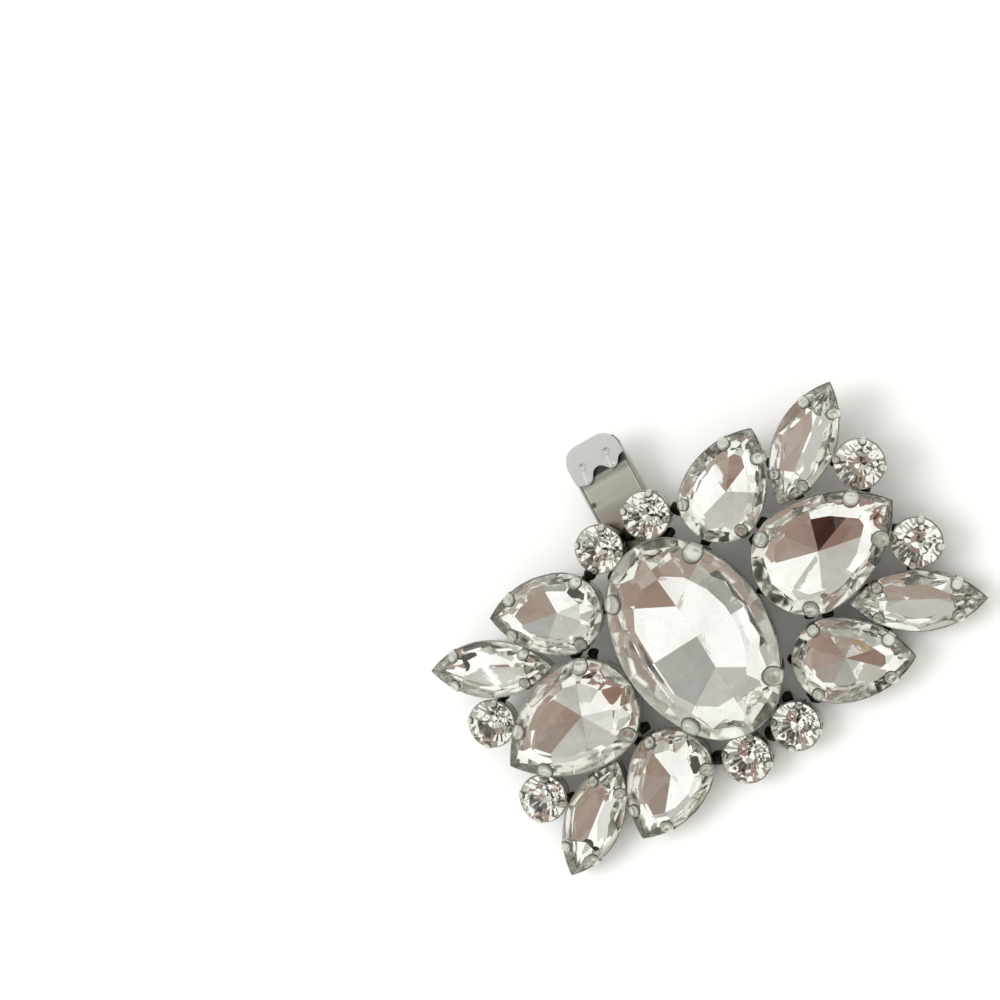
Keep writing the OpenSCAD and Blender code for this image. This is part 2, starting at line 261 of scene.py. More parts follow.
def facet(body, cut, angle, out, height, slope, side):
    """One facet that faces a direction, through a point out from the keel and at
    a height. Its slope is in radians, and side is 1 above and -1 below."""
    across = Vector((math.cos(angle), math.sin(angle), 0))
    point = Vector((keel_x(cut), 0, height)) + out * across
    slice_off(body, point, math.sin(slope) * across + side * math.cos(slope) * Vector((0, 0, 1)))


def crown_row(body, cut, offset, outer, inner):
    """Facets evenly round the crown between two rings, each a share of the outline and a height."""
    for i in range(cut["mains"]):
        angle = facing(cut, (i + offset) / cut["mains"])
        reach = support(cut, angle)
        slope = math.atan2(inner[1] - outer[1], (outer[0] - inner[0]) * reach)
        facet(body, cut, angle, outer[0] * reach, outer[1], slope, 1)


# Share of the crown's height that its steep lower row of facets takes
steep_rise = 0.62
# A facet's normal points down by more than the first value where it is foiled,
# and by more than the second in the keel. The skirt between has duller foil.
foil_from = 0.1
keel_from = math.cos(math.radians(35))


def cut_stone(cut):
    """A cut stone as exact planes: a slab with the outline, then row by row of facets."""
    body = bmesh.new()
    around = outline(cut, -stone_inset, stone_step)
    low = [body.verts.new((x, y, -cut["pavilion"])) for x, y, _ in around]
    high = [body.verts.new((x, y, cut["crown"])) for x, y, _ in around]
    body.faces.new(low[::-1])
    body.faces.new(high)
    for i in range(len(around)):
        body.faces.new((low[i - 1], low[i], high[i], high[i - 1]))
    top = girdle_t / 2
    rise = cut["crown"] - top
    depth = cut["pavilion"] - top
    middle = (1 + cut["table"]) / 2
    knee = top + steep_rise * rise
    crown_row(body, cut, 0.5, (1, top), (middle, knee))
    crown_row(body, cut, 0, (middle, knee), (cut["table"], cut["crown"]))
    for directions, (out, down), slope in cut["keel"]:
        for direction in directions:
            facet(body, cut, math.radians(direction), out * cut["width"] / 2,
                  -top - down * depth, math.radians(slope), -1)
    count, slope = cut["skirt"]
    for i in range(count):
        angle = facing(cut, (i + 0.5) / count)
        facet(body, cut, angle, support(cut, angle), -top, math.radians(slope), -1)
    bmesh.ops.recalc_face_normals(body, faces=body.faces[:])
    for face in body.faces:
        if face.normal.z < -keel_from:
            face.material_index = 1
        elif face.normal.z < -foil_from:
            face.material_index = 2
    return to_mesh(body, "cut_" + cut["shape"])


# Materials

def new_material(name, base, metallic, roughness):
    material = bpy.data.materials.new(name)
    material.use_nodes = True
    shader = material.node_tree.nodes["Principled BSDF"]
    shader.inputs["Base Color"].default_value = (*base, 1)
    shader.inputs["Metallic"].default_value = metallic
    shader.inputs["Roughness"].default_value = roughness
    return material, material.node_tree, shader


def millimetres(tree, matrix, stretch=(1, 1, 1)):
    """Coordinates in millimetres of the frame that a matrix leads out of."""
    coords = tree.nodes.new("ShaderNodeTexCoord")
    mapping = tree.nodes.new("ShaderNodeMapping")
    back = matrix.inverted()
    mapping.inputs["Location"].default_value = back.to_translation()
    mapping.inputs["Rotation"].default_value = back.to_euler()
    mapping.inputs["Scale"].default_value = back.to_scale()
    tree.links.new(coords.outputs["Object"], mapping.inputs["Vector"])
    shape = tree.nodes.new("ShaderNodeVectorMath")
    shape.operation = "MULTIPLY"
    shape.inputs[1].default_value = stretch
    tree.links.new(mapping.outputs["Vector"], shape.inputs[0])
    return shape.outputs[0]


def noise(tree, vector, scale, detail=3, roughness=0.55):
    node = tree.nodes.new("ShaderNodeTexNoise")
    node.inputs["Scale"].default_value = scale
    node.inputs["Detail"].default_value = detail
    node.inputs["Roughness"].default_value = roughness
    tree.links.new(vector, node.inputs["Vector"])
    return node.outputs["Fac"]


def ramp(tree, factor, stops):
    """Colours along a factor, from rows of position and colour or grey."""
    node = tree.nodes.new("ShaderNodeValToRGB")
    elements = node.color_ramp.elements
    while len(elements) < len(stops):
        elements.new(0.5)
    for element, (position, colour) in zip(elements, stops):
        element.position = position
        element.color = (*colour, 1) if isinstance(colour, tuple) else (colour, colour, colour, 1)
    tree.links.new(factor, node.inputs["Fac"])
    return node.outputs["Color"]


def feed(tree, socket, value):
    """Gives a socket a number, a colour or what another socket puts out."""
    if isinstance(value, (int, float)):
        socket.default_value = value
    elif isinstance(value, tuple):
        socket.default_value = (*value, 1)
    else:
        tree.links.new(value, socket)


def mix(tree, factor, first, second):
    node = tree.nodes.new("ShaderNodeMix")
    node.data_type = "RGBA"
    feed(tree, node.inputs["Factor"], factor)
    feed(tree, node.inputs["A"], first)
    feed(tree, node.inputs["B"], second)
    return node.outputs["Result"]


def work_out(tree, operation, *values):
    """A sum of numbers and sockets."""
    node = tree.nodes.new("ShaderNodeMath")
    node.operation = operation
    for socket, value in zip(node.inputs, values):
        feed(tree, socket, value)
    return node.outputs[0]


def bump(tree, shader, height, strength, distance):
    node = tree.nodes.new("ShaderNodeBump")
    node.inputs["Strength"].default_value = strength
    node.inputs["Distance"].default_value = distance * MM
    tree.links.new(height, node.inputs["Height"])
    tree.links.new(node.outputs["Normal"], shader.inputs["Normal"])


def attribute(tree, name):
    node = tree.nodes.new("ShaderNodeAttribute")
    node.attribute_name = name
    return node.outputs["Fac"]


def glass_material():
    """Clear crystal with a little wear."""
    material, tree, shader = new_material("clear_crystal", (0.975, 0.985, 0.97), 0, 0)
    shader.inputs["Transmission Weight"].default_value = 1
    shader.inputs["IOR"].default_value = 1.54
    wear = noise(tree, millimetres(tree, LYING), 0.9, 2)
    tree.links.new(ramp(tree, wear, [(0.45, 0.0), (0.8, 0.03)]), shader.inputs["Roughness"])
    bump(tree, shader, wear, 0.02, 0.3)
    return material


def foil_material(name, roughness):
    """Foil behind a stone, clouded and with a few dark specks."""
    material, tree, shader = new_material(name, (0.9, 0.9, 0.89), 1, roughness)
    place_mm = millimetres(tree, LYING)
    clouds = ramp(tree, noise(tree, place_mm, 0.35),
                  [(0.35, (0.88, 0.87, 0.83)), (0.6, (0.95, 0.95, 0.93))])
    specks = ramp(tree, noise(tree, place_mm, 6, 2), [(0.7, 0.0), (0.74, 1.0)])
    tree.links.new(mix(tree, specks, clouds, (0.2, 0.17, 0.13)), shader.inputs["Base Color"])
    bump(tree, shader, noise(tree, place_mm, 0.25, 1), 0.02, 0.5)
    return material


def setting_material():
    """Silver that is darker low down, which is painted shade with some tarnish, and near black where a
    mesh says so, which is painted shade with some grime.
    """
    material, tree, shader = new_material("setting_silver", (0.6, 0.6, 0.55), 1, 0.2)
    place_mm = millimetres(tree, LYING)
    clouds = noise(tree, place_mm, 1.1, 4)
    # Darker with less height: painted shade between and under the cups, with some tarnish
    tone = ramp(tree, work_out(tree, "MULTIPLY_ADD", clouds, 0.5, attribute(tree, "rise")),
                [(0.1, (0.1, 0.09, 0.07)), (0.5, (0.36, 0.34, 0.28)), (0.65, (0.5, 0.49, 0.42)),
                 (0.95, (0.58, 0.58, 0.53)), (1.0, (0.66, 0.67, 0.61))])
    # Painted shade: claws darken at their buttons' rims and underneath, and solder goes near black,
    # partly grime
    shade_and_grime_amount = attribute(tree, "shade_and_grime")
    tree.links.new(mix(tree, shade_and_grime_amount, tone, (0.045, 0.04, 0.03)), shader.inputs["Base Color"])
    polish = ramp(tree, clouds, [(0.3, 0.14), (0.7, 0.36)])
    tree.links.new(mix(tree, shade_and_grime_amount, polish, (0.6, 0.6, 0.6)), shader.inputs["Roughness"])
    bump(tree, shader, noise(tree, place_mm, 5, 3), 0.15, 0.05)
    return material


def clip_material():
    """Plated steel whose tone changes along the clip: a plain lip painted lighter as if lit, painted
    black shade in the gap beneath it and a painted shadow band below that, then a duller plate with
    painted shade towards the stones, a small dark spot, and a groove near each side painted dark as
    shade."""
    material, tree, shader = new_material("clip_steel", (0.6, 0.6, 0.54), 1, 0.3)
    in_clip = millimetres(tree, LYING @ IN_CLIP)
    lanes = noise(tree, millimetres(tree, LYING @ IN_CLIP, (0.2, 2.5, 1)), 1.2, 5, 0.65)
    clouds = noise(tree, in_clip, 0.4, 3)
    split = tree.nodes.new("ShaderNodeSeparateXYZ")
    tree.links.new(in_clip, split.inputs[0])
    along = tree.nodes.new("ShaderNodeMapRange")
    along.inputs["From Min"].default_value = plate_from
    along.inputs["From Max"].default_value = plate_to
    uneven_y = work_out(tree, "MULTIPLY_ADD", clouds, unevenness, split.outputs["Y"])
    tree.links.new(uneven_y, along.inputs["Value"])
    # Along the plate: painted shade towards the stones, a painted shadow band, painted black shade in
    # the gap under the lip's edge, then lighter beyond
    plate = ramp(tree, along.outputs[0],
                 [(0.0, (0.45, 0.4, 0.34)), (0.12, (0.56, 0.51, 0.44)), (0.17, (0.64, 0.63, 0.53)),
                  (0.37, (0.66, 0.67, 0.55)), (0.44, (0.7, 0.7, 0.6)), (0.505, (0.36, 0.38, 0.3)),
                  (0.54, (0.5, 0.51, 0.42)), (0.573, (0.02, 0.02, 0.015)), (0.67, (0.02, 0.02, 0.015)),
                  (0.7, (0.8, 0.8, 0.79))])
    across = work_out(tree, "ABSOLUTE", split.outputs["X"])
    # Painted shade: a thin dark line along the groove near each side
    groove_shade = work_out(tree, "COMPARE", across, groove_x + groove_out, groove_w / 2)
    side = work_out(tree, "GREATER_THAN", across, groove_x + side_out)
    # A small dark spot on the plate
    spot_distance = tree.nodes.new("ShaderNodeVectorMath")
    spot_distance.operation = "DISTANCE"
    spot_distance.inputs[1].default_value = dark_spot
    tree.links.new(in_clip, spot_distance.inputs[0])
    near_dark_spot = ramp(tree, spot_distance.outputs["Value"], [(0.15, 1.0), (0.5, 0.0)])
    plate = mix(tree, groove_shade, plate, (0.1, 0.1, 0.08))
    plate = mix(tree, side, plate, (0.5, 0.5, 0.44))
    plate = mix(tree, near_dark_spot, plate, (0.1, 0.07, 0.04))
    # Painted light: the lip is lighter than the plate of the same steel, as if lit from above
    lip = mix(tree, clouds, (0.82, 0.82, 0.81), (0.88, 0.88, 0.86))
    tone = mix(tree, work_out(tree, "GREATER_THAN", split.outputs["Z"], lip_level), plate, lip)
    tree.links.new(mix(tree, lane_share, tone, ramp(tree, lanes, [(0.3, 0.3), (0.7, 0.75)])),
                   shader.inputs["Base Color"])
    tree.links.new(ramp(tree, lanes, [(0.3, 0.26), (0.7, 0.38)]), shader.inputs["Roughness"])
    bump(tree, shader, lanes, 0.06, 0.05)
    return material


# The clip's plate changes tone between these distances along it, with painted shade towards the
# stones, a painted shadow band and painted black shade under the lip's edge, and its lip, painted
# lighter as if lit, is above a height
plate_from = 17.5
plate_to = 26.9
lip_level = -0.29
unevenness = 0.3
lane_share = 0.12
# A small dark spot on the plate is centred here
dark_spot = (-2.95, 19.6, -0.9)
# The lever's sheet ends at groove_x from the middle, and a groove, painted dark as shade, and the side
# of the flange follow outside it
groove_x = 3.2
groove_out = 0.05
groove_w = 0.12
side_out = 0.2

glass = glass_material()
foil = foil_material("silver_foil", 0.02)
dull_foil = foil_material("dull_foil", 0.08)
setting_metal = setting_material()
clip_metal = clip_material()


# Pieces

def place(name, mesh, matrix, body, slot, materials, *nodes):
    """A piece of the object from a mesh in millimetres."""
    mesh = mesh.copy()
    mesh.name = name
    mesh.transform(matrix)
    for material in materials:
        mesh.materials.append(material)
    piece = new_object(name, mesh)
    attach(piece, body)
    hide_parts(*nodes)


def frame_body(node):
    """The body that a node rides on."""
    for name, nodes in frame["record"]["behaviour"]["bodies"].items():
        if node in nodes:
            return name
    return "ornament"


def at_stone(row):
    _, _, x, y, direction = row
    return (Matrix.Translation((x, y, 0))
            @ Matrix.Rotation(math.radians(direction), 4, "Z"))


def make_stones():
    meshes = {}
    for row in STONES:
        name, cut = row[:2]
        if id(cut) not in meshes:
            meshes[id(cut)] = cut_stone(cut)
        matrix = LYING @ at_stone(row) @ Matrix.Translation((0, 0, cut["girdle"]))
        skirt_foil = foil if cut["shape"] == "round" else dull_foil
        place("cut_" + name, meshes[id(cut)], matrix, "ornament", "foiled_crystal",
              [glass, foil, skirt_foil], name)


# Setting

def sweep(body, cut, profile, matrix):
    """A ring whose cross-section is a closed list of growths and heights."""
    rings = []
    for grow, z in profile:
        around = outline(cut, grow, cup_step)
        rings.append([body.verts.new(matrix @ Vector((x, y, z))) for x, y, _ in around])
    for ring, after in zip(rings, rings[1:] + rings[:1]):
        for i in range(len(ring)):
            body.faces.new((ring[i - 1], ring[i], after[i], after[i - 1]))


rim_t = 0.12
rim_round = 0.3 * rim_t
cup_soft = 0.08
cup_taper = 0.17


def make_cups():
    """Open-backed cups whose walls lean inward towards the back."""
    body = bmesh.new()
    inner = stone_gap
    edge = inner + rim_t
    for row in STONES:
        cut = row[1]
        top = cut["girdle"]
        lean = cup_taper * top
        back = -back_rim_share * cut["width"] - lean
        low = inner + cup_wall - lean
        profile = [(back, 0), (low - cup_soft, 0), (low, cup_soft), (edge, top - cup_soft),
                   (edge - rim_round, top), (inner + rim_round, top), (inner, top - cup_soft),
                   (inner - lean, cup_floor), (back, cup_floor)]
        sweep(body, cut, profile, at_stone(row))
    return body


# Directions of the claws in degrees, round a cut's own middle or its arcs' middles
EVEN_CLAWS = (45, 135, 225, 315)
NAVETTE_CLAWS = (62, 118)
pear_end_claw = 120
pear_side_claw = 52


def claw_spots(cut):
    """Places of the claws on the outline: point and outward angle."""
    half_l = cut["length"] / 2
    half_w = cut["width"] / 2

    def on_arc(x, y, r, degrees):
        a = math.radians(degrees)
        return (x + r * math.cos(a), y + r * math.sin(a), a)

    if cut["shape"] == "round":
        return [on_arc(0, 0, half_w, a) for a in EVEN_CLAWS]
    if cut["shape"] == "oval":
        spots = []
        for degrees in EVEN_CLAWS:
            c = math.cos(math.radians(degrees))
            s = math.sin(math.radians(degrees))
            spots.append((half_l * c, half_w * s, math.atan2(half_l * s, half_w * c)))
        return spots
    side_r = outline_arcs(cut)[0][2]
    side_y = half_w - side_r
    if cut["shape"] == "pear":
        spots = []
        for side in (-1, 1):
            spots.append(on_arc(half_w - half_l, 0, half_w, side * pear_end_claw))
            spots.append(on_arc(half_w - half_l, side * side_y, side_r, side * pear_side_claw))
        return spots
    return [on_arc(0, side * side_y, side_r, side * a) for side in (-1, 1) for a in NAVETTE_CLAWS]


claw_t = 0.4
claw_edge = 0.06
claw_tip_w = 0.02
claw_dish = 0.14
dish_share = 0.7
claw_lift = 0.08
claw_steps = 30
claw_lanes = 14
# Painted shade on a claw: how dark its button's rim and its inner face get
claw_shade = 0.9
# A claw's strap starts a little above the cup's back, bends in over the girdle
# and has a share of the button's thickness and width
strap_foot = 0.3
strap_top = 0.2
strap_out = 0.12
bend_out = 0.02
bend_up = 0.05
strap_share = 0.4
strap_w = 0.7
strap_fade = 0.3
# A claw bends this share of the outline outside the crown's knee
knee_margin = 0.02
# How flat a button is in its middle, and how closely its painted shade keeps to the rim
swell_power = 4
rim_shade_power = 6


def crown_height(cut, reach, inward):
    """Height of the crown over the girdle's top edge, at a distance in from the outline."""
    middle = (1 + cut["table"]) / 2 + knee_margin
    rise = cut["crown"] - girdle_t / 2
    steep = (1 - middle) * reach
    flat = (middle - cut["table"]) * reach
    if inward < steep:
        return steep_rise * rise * inward / steep
    return rise * (steep_rise + (1 - steep_rise) * (inward - steep) / flat)


def bend(points, share):
    """A point on the smooth curve through a few points, and its direction."""
    spans = len(points) - 1
    at = min(share * spans, spans - 1e-6)
    i = int(at)
    t = at - i
    a, b, c, d = (points[max(i - 1, 0)], points[i], points[i + 1], points[min(i + 2, spans)])
    point = (b * 2 + (c - a) * t + (a * 2 - b * 5 + c * 4 - d) * t ** 2
             + (b * 3 - a - c * 3 + d) * t ** 3) / 2
    slope = ((c - a) + (a * 2 - b * 5 + c * 4 - d) * 2 * t + (b * 3 - a - c * 3 + d) * 3 * t ** 2) / 2
    return point, slope.normalized()


def claw_path(cut, reach):
    """Points along a claw's inner face, in the plane across the outline: outward, up."""
    girdle = cut["girdle"]
    shoulder = girdle + girdle_t / 2 + claw_lift
    over = cut["claw_reach"]
    path = [Vector((strap_out - cup_taper * (girdle - z), z))
            for z in (strap_foot, 0.5 * girdle, girdle - strap_top)]
    path.append(Vector((bend_out, shoulder + bend_up)))
    for share in (0.33, 0.66, 1.0):
        path.append(Vector((-share * over, shoulder + crown_height(cut, reach, share * over))))
    return path


def claw_section(outward, past, across, lane, half):
    """Thickness of a claw, and how near its button's rim it is, at a distance past
    and across the button's middle."""
    from_middle = math.hypot(past, across)
    off = from_middle / half
    if past < 0:
        off = min(off, abs(lane))
    swell = math.sqrt(max(0.0, 1 - off ** swell_power))
    dish = claw_dish * max(0.0, 1 - (from_middle / (dish_share * half)) ** 2)
    thick = claw_edge + (claw_t - claw_edge) * swell - dish
    if outward > -strap_fade:
        faded = (outward + strap_fade) / strap_fade * (1 - strap_share)
        thick = claw_edge + max(strap_share, 1 - faded) * (thick - claw_edge)
    return thick, off


def close_claw(body, upper, lower):
    """The faces of a claw between the rows of points of its outer and inner face."""
    for i in range(claw_steps):
        for k in range(claw_lanes):
            body.faces.new((upper[i][k], upper[i][k + 1], upper[i + 1][k + 1], upper[i + 1][k]))
            body.faces.new((lower[i][k + 1], lower[i][k], lower[i + 1][k], lower[i + 1][k + 1]))
        for k in (0, claw_lanes):
            body.faces.new((upper[i][k], upper[i + 1][k], lower[i + 1][k], lower[i][k]))
    for i in (0, claw_steps):
        for k in range(claw_lanes):
            body.faces.new((upper[i][k], lower[i][k], lower[i][k + 1], upper[i][k + 1]))


def add_claw(body, cut, spot, matrix):
    """A claw: a strap up the cup's wall that ends in a round button on the crown."""
    x, y, angle = spot
    reach = (x - keel_x(cut)) * math.cos(angle) + y * math.sin(angle)
    path = claw_path(cut, reach)
    half = cut["claw_w"] / 2
    button = cut["claw_reach"] - half
    turned = matrix @ Matrix.Translation((x, y, 0)) @ Matrix.Rotation(angle, 4, "Z")
    shade_and_grime = body.verts.layers.float["shade_and_grime"]
    upper = []
    lower = []
    for i in range(claw_steps + 1):
        # More steps where the strap ends in its button
        share = math.sin(0.5 * math.pi * i / claw_steps)
        point, along = bend(path, share)
        past = min(half, -point.x - button) if i < claw_steps else half
        width = math.sqrt(max(half ** 2 - past ** 2, claw_tip_w ** 2))
        if past < 0:
            width = max(width, strap_w * half) if past > -half else strap_w * half
        out = Vector((along.y, -along.x))
        upper.append([])
        lower.append([])
        for k in range(claw_lanes + 1):
            lane = math.sin(math.pi * (k / claw_lanes - 0.5))
            thick, off = claw_section(point.x, past, lane * width, lane, half)
            top = point + out * thick
            upper[i].append(body.verts.new(turned @ Vector((top.x, lane * width, top.y))))
            lower[i].append(body.verts.new(turned @ Vector((point.x, lane * width, point.y))))
            # Painted shade: darker towards the button's rim, and full on the inner face that lies
            # against the crown
            upper[i][k][shade_and_grime] = claw_shade * off ** rim_shade_power
            lower[i][k][shade_and_grime] = claw_shade
    close_claw(body, upper, lower)


def make_claws():
    body = bmesh.new()
    body.verts.layers.float.new("shade_and_grime")
    for row in STONES:
        for spot in claw_spots(row[1]):
            add_claw(body, row[1], spot, at_stone(row))
    return body


# Drops of solder where neighbouring cups meet, painted near black as the shade in those crevices with
# some grime, in one quarter: place and radius
SOLDER = [(9.4, 0, 0.65), (7.3, 8.5, 0.6), (4.2, 11.75, 0.6), (2.4, 12.2, 0.7), (12.1, 5.4, 0.6),
          (13.8, 6.5, 0.6), (19, 6.4, 0.6), (25.8, 2.8, 0.6), (18.7, 11.5, 0.6),
          (6.7, 13.3, 0.8), (24.7, 7.4, 0.6), (0, 14.4, 0.9)]
solder_low = 0.02
solder_middle = 0.9
solder_h = 1.1
# Lumps on every drop: how many, how far they swell it and how narrow they are
lump_count = 12
lump_sizes = (-0.4, 0.6)
lump_power = 8


def draw_lumps(draw):
    """Directions and sizes of a drop's lumps."""
    lumps = []
    for _ in range(lump_count):
        way = Vector((draw.uniform(-1, 1), draw.uniform(-1, 1), draw.uniform(-1, 1))).normalized()
        lumps.append((way, draw.uniform(*lump_sizes)))
    return lumps


def make_solder():
    body = bmesh.new()
    shade_and_grime = body.verts.layers.float.new("shade_and_grime")
    draw = random.Random(7)
    for sx, sy in QUARTERS:
        for x, y, radius in SOLDER:
            if (x == 0 and sx < 0) or (y == 0 and sy < 0):
                continue
            drop = bmesh.ops.create_icosphere(body, subdivisions=3, radius=1)["verts"]
            lumps = draw_lumps(draw)
            middle = Vector((sx * x, sy * y, solder_middle))
            for v in drop:
                d = v.co.normalized()
                swell = 1 + sum(size * max(0, d.dot(way)) ** lump_power for way, size in lumps)
                v.co = middle + swell * Vector((d.x * radius, d.y * radius, d.z * solder_h))
                v.co.z = max(v.co.z, solder_low)
                # Painted shade with some grime: the whole drop goes near black
                v[shade_and_grime] = 1
    return body


def finish_mesh(body, name, sharp_degrees, full_rise):
    """A smooth mesh that also holds its height as a share of the full rise."""
    bmesh.ops.recalc_face_normals(body, faces=body.faces[:])
    mesh = to_mesh(body, name)
    rise = mesh.attributes.new("rise", "FLOAT", "POINT")
    for i, vertex in enumerate(mesh.vertices):
        rise.data[i].value = min(1.0, vertex.co.z / full_rise)
    return smooth_out(mesh, sharp_degrees)


# Clip

# Joined forms overlap by these, so that no two of their faces lie in one plane
seam = 0.01
thin_seam = 0.001
ear_x = 2.7
ear_r = 1.4
ear_foot = 0.5
ear_soft = 0.08
pivot_y = 9.5
pivot_depth = 2.4
base_w = 7.6
base_back = 11
base_end = 0.6
base_corner = 1.5
hinge_step = 0.15
bearing_end = pivot_y - ear_r - ear_foot
sheet_t = 0.5
sheet_soft = 0.1
pin_d = 1
pin_soft = 0.05
head_t = 0.3
head_r = 0.8 * pin_d
head_soft = 0.12
head_gap = 0.1
base_hole_gap = 0.02
lever_hole_gap = 0.05
hole_soft = 0.001
base_sharp = 30
lever_sharp = 20
round_steps = 40
plate_steps = 8
lug_steps = 20
corner_steps = 12
fold_steps = 10
lever_w = 7.2
lever_l = 17.4
sheet_z = 1
lug_r = 1.3
heel_y = 1.6
flange_depth = 0.7
flange_x = (lever_w - sheet_t) / 2
flange_soft = 0.18
flange_slope = 1
lug_foot = 0.9
tip_corner = 2.2
tip_soft = 0.12
lip_t = 0.3
lip_gap = 0.15
lip_soft = 0.03
lip_inset = 0.05
lip_top = sheet_z + 2 * sheet_t + lip_gap
lip_y = 13.8
tip_start = lip_y + 0.9
fold_y = lever_l - 0.9
fold_soft = 0.2
# The folded lip's free edge, across and along the lever: two lobes that reach back over it
LIP_EDGE = [(-3.55, 13.3), (-3.3, 12.95), (-2.75, 12.75), (-2.1, 12.55), (-1.55, 12.75), (-1.15, 13.2),
            (-0.8, 13.7), (-0.3, 13.95), (0.35, 13.9), (0.85, 13.45), (1.25, 13.05), (1.75, 12.93),
            (2.25, 13.15), (2.6, 13.6), (2.95, 13.95), (3.55, 14.05)]
lip_steps = 90
# Each rib of the lip leads from a lobe to a round dent
RIBS = [((-2.0, 12.95), (-1.75, 14.75)), ((1.6, 13.3), (1.75, 15.05))]
rib_r = 0.55
rib_end_r = 0.8 * rib_r
rib_rise = 0.1
dent_r = 0.52
dent_depth = 0.3
tooth_x = 1.75
tooth_y = lever_l - 2.2
tooth_h = 0.9
tooth_r = 0.55
tooth_tip_r = 0.12
tooth_root = 0.1
ACROSS = Matrix(((0, 0, 1, 0), (1, 0, 0, 0), (0, 1, 0, 0), (0, 0, 0, 1)))
AT_PIN = Matrix.Translation((0, pivot_y, -pivot_depth))


def arc_points(x, y, r, start, end, steps):
    return [(x + r * math.cos(math.radians(start + (end - start) * i / steps)),
             y + r * math.sin(math.radians(start + (end - start) * i / steps)))
            for i in range(steps + 1)]


def slab(points, low, high, soft, matrix):
    """A flat piece with softened edges from its outline."""
    body = bmesh.new()
    under = [body.verts.new((x, y, low)) for x, y in points]
    over = [body.verts.new((x, y, high)) for x, y in points]
    body.faces.new(under[::-1])
    body.faces.new(over)
    for i in range(len(points)):
        body.faces.new((under[i - 1], under[i], over[i], over[i - 1]))
    rims = [e for e in body.edges if abs(e.verts[0].co.z - e.verts[1].co.z) < 1e-6]
    bmesh.ops.bevel(body, geom=rims, offset=soft, segments=2, affect="EDGES", profile=0.5)
    bmesh.ops.recalc_face_normals(body, faces=body.faces[:])
    body.transform(matrix)
    return to_mesh(body, "slab")


def drum(radius, low, high, soft, matrix):
    """A short round bar with softened ends."""
    return slab(arc_points(0, 0, radius, 0, 360, round_steps)[:-1], low, high, soft, matrix)


def combine(first, others, operation):
    """The union or difference of closed meshes."""
    base = new_object("base", first)
    tools = []
    for mesh in others:
        tool = new_object("tool", mesh)
        change = base.modifiers.new("combine", "BOOLEAN")
        change.operation = operation
        change.object = tool
        change.solver = "EXACT"
        tools.append(tool)
    bpy.context.view_layer.update()
    seen = base.evaluated_get(bpy.context.evaluated_depsgraph_get())
    mesh = bpy.data.meshes.new_from_object(seen)
    for thing in [base] + tools:
        bpy.data.objects.remove(thing)
    return mesh


def cheek(points, x, soft):
    """A sheet on edge, with its outline across the pin."""
    return slab(points, x - sheet_t / 2, x + sheet_t / 2, soft, AT_PIN @ ACROSS)


def pin_hole(gap, half_length):
    return drum(pin_d / 2 + gap, -half_length, half_length, hole_soft, AT_PIN @ ACROSS)


def base_mesh():
    """A plate with a step, and the two ears that hold the pin."""
    half = base_w / 2
    corner_y = base_corner - base_back
    plate = (arc_points(half - base_corner, corner_y, base_corner, -90, 0, plate_steps)
             + [(half, bearing_end), (-half, bearing_end)]
             + arc_points(base_corner - half, corner_y, base_corner, 180, 270, plate_steps))
    inner = half - seam
    start = bearing_end - base_corner
    hinge_end = pivot_y + base_end
    step_plate = [(inner, start), (inner, hinge_end), (-inner, hinge_end), (-inner, start)]
    top = base_back_z + base_t
    body = slab(plate, base_back_z, top, sheet_soft, Matrix())
    parts = [slab(step_plate, base_back_z + hinge_step, top - thin_seam, sheet_soft, Matrix())]
    root = pivot_depth + base_back_z + 2 * hinge_step
    ear = (arc_points(0, 0, ear_r, 180, 360, lug_steps)
           + [(ear_r, ear_foot), (base_end, root), (-ear_r, root)])
    for side in (-1, 1):
        parts.append(cheek(ear, side * ear_x, ear_soft))
    whole = combine(body, parts, "UNION")
    return smooth_out(combine(whole, [pin_hole(base_hole_gap, base_w)], "DIFFERENCE"), base_sharp)


def pin_mesh():
    side = lever_w / 2 + head_gap
    end = side + head_t
    rod = drum(pin_d / 2, -end, end, pin_soft, AT_PIN @ ACROSS)
    heads = [drum(head_r, side, end, head_soft, AT_PIN @ ACROSS),
             drum(head_r, -end, -side, head_soft, AT_PIN @ ACROSS)]
    return smooth_out(combine(rod, heads, "UNION"), base_sharp)


def tip_outline(start, inset=0.0):
    """The lever's rounded end, from a distance along it."""
    half = lever_w / 2 - inset
    r = tip_corner - inset
    y = lever_l - tip_corner
    return ([(half, start)] + arc_points(half - r, y, r, 0, 90, corner_steps)
            + arc_points(r - half, y, r, 90, 180, corner_steps) + [(-half, start)])


def lip_outline():
    knots = [Vector(point) for point in LIP_EDGE]
    edge = [bend(knots, i / lip_steps)[0] for i in range(lip_steps + 1)]
    return tip_outline(LIP_EDGE[-1][1] + seam, lip_inset) + [tuple(point) for point in edge]


def fold_outline():
    """The end of the lever's outline beyond the fold's inner edge."""
    half = lever_w / 2 - tip_corner
    y = lever_l - tip_corner
    start = math.degrees(math.asin((fold_y - y) / tip_corner))
    return (arc_points(half, y, tip_corner, start, 90, fold_steps)
            + arc_points(-half, y, tip_corner, 90, 180 - start, fold_steps))


def cone(radius_1, radius_2, length, matrix):
    """A closed cone along its own z axis, from its base at the origin."""
    body = bmesh.new()
    bmesh.ops.create_cone(body, cap_ends=True, segments=32, radius1=radius_1, radius2=radius_2,
                          depth=length, matrix=Matrix.Translation((0, 0, length / 2)))
    body.transform(matrix)
    return to_mesh(body, "cone")


def ball(radius, matrix):
    body = bmesh.new()
    bmesh.ops.create_uvsphere(body, u_segments=32, v_segments=16, radius=radius, matrix=matrix)
    return to_mesh(body, "ball")


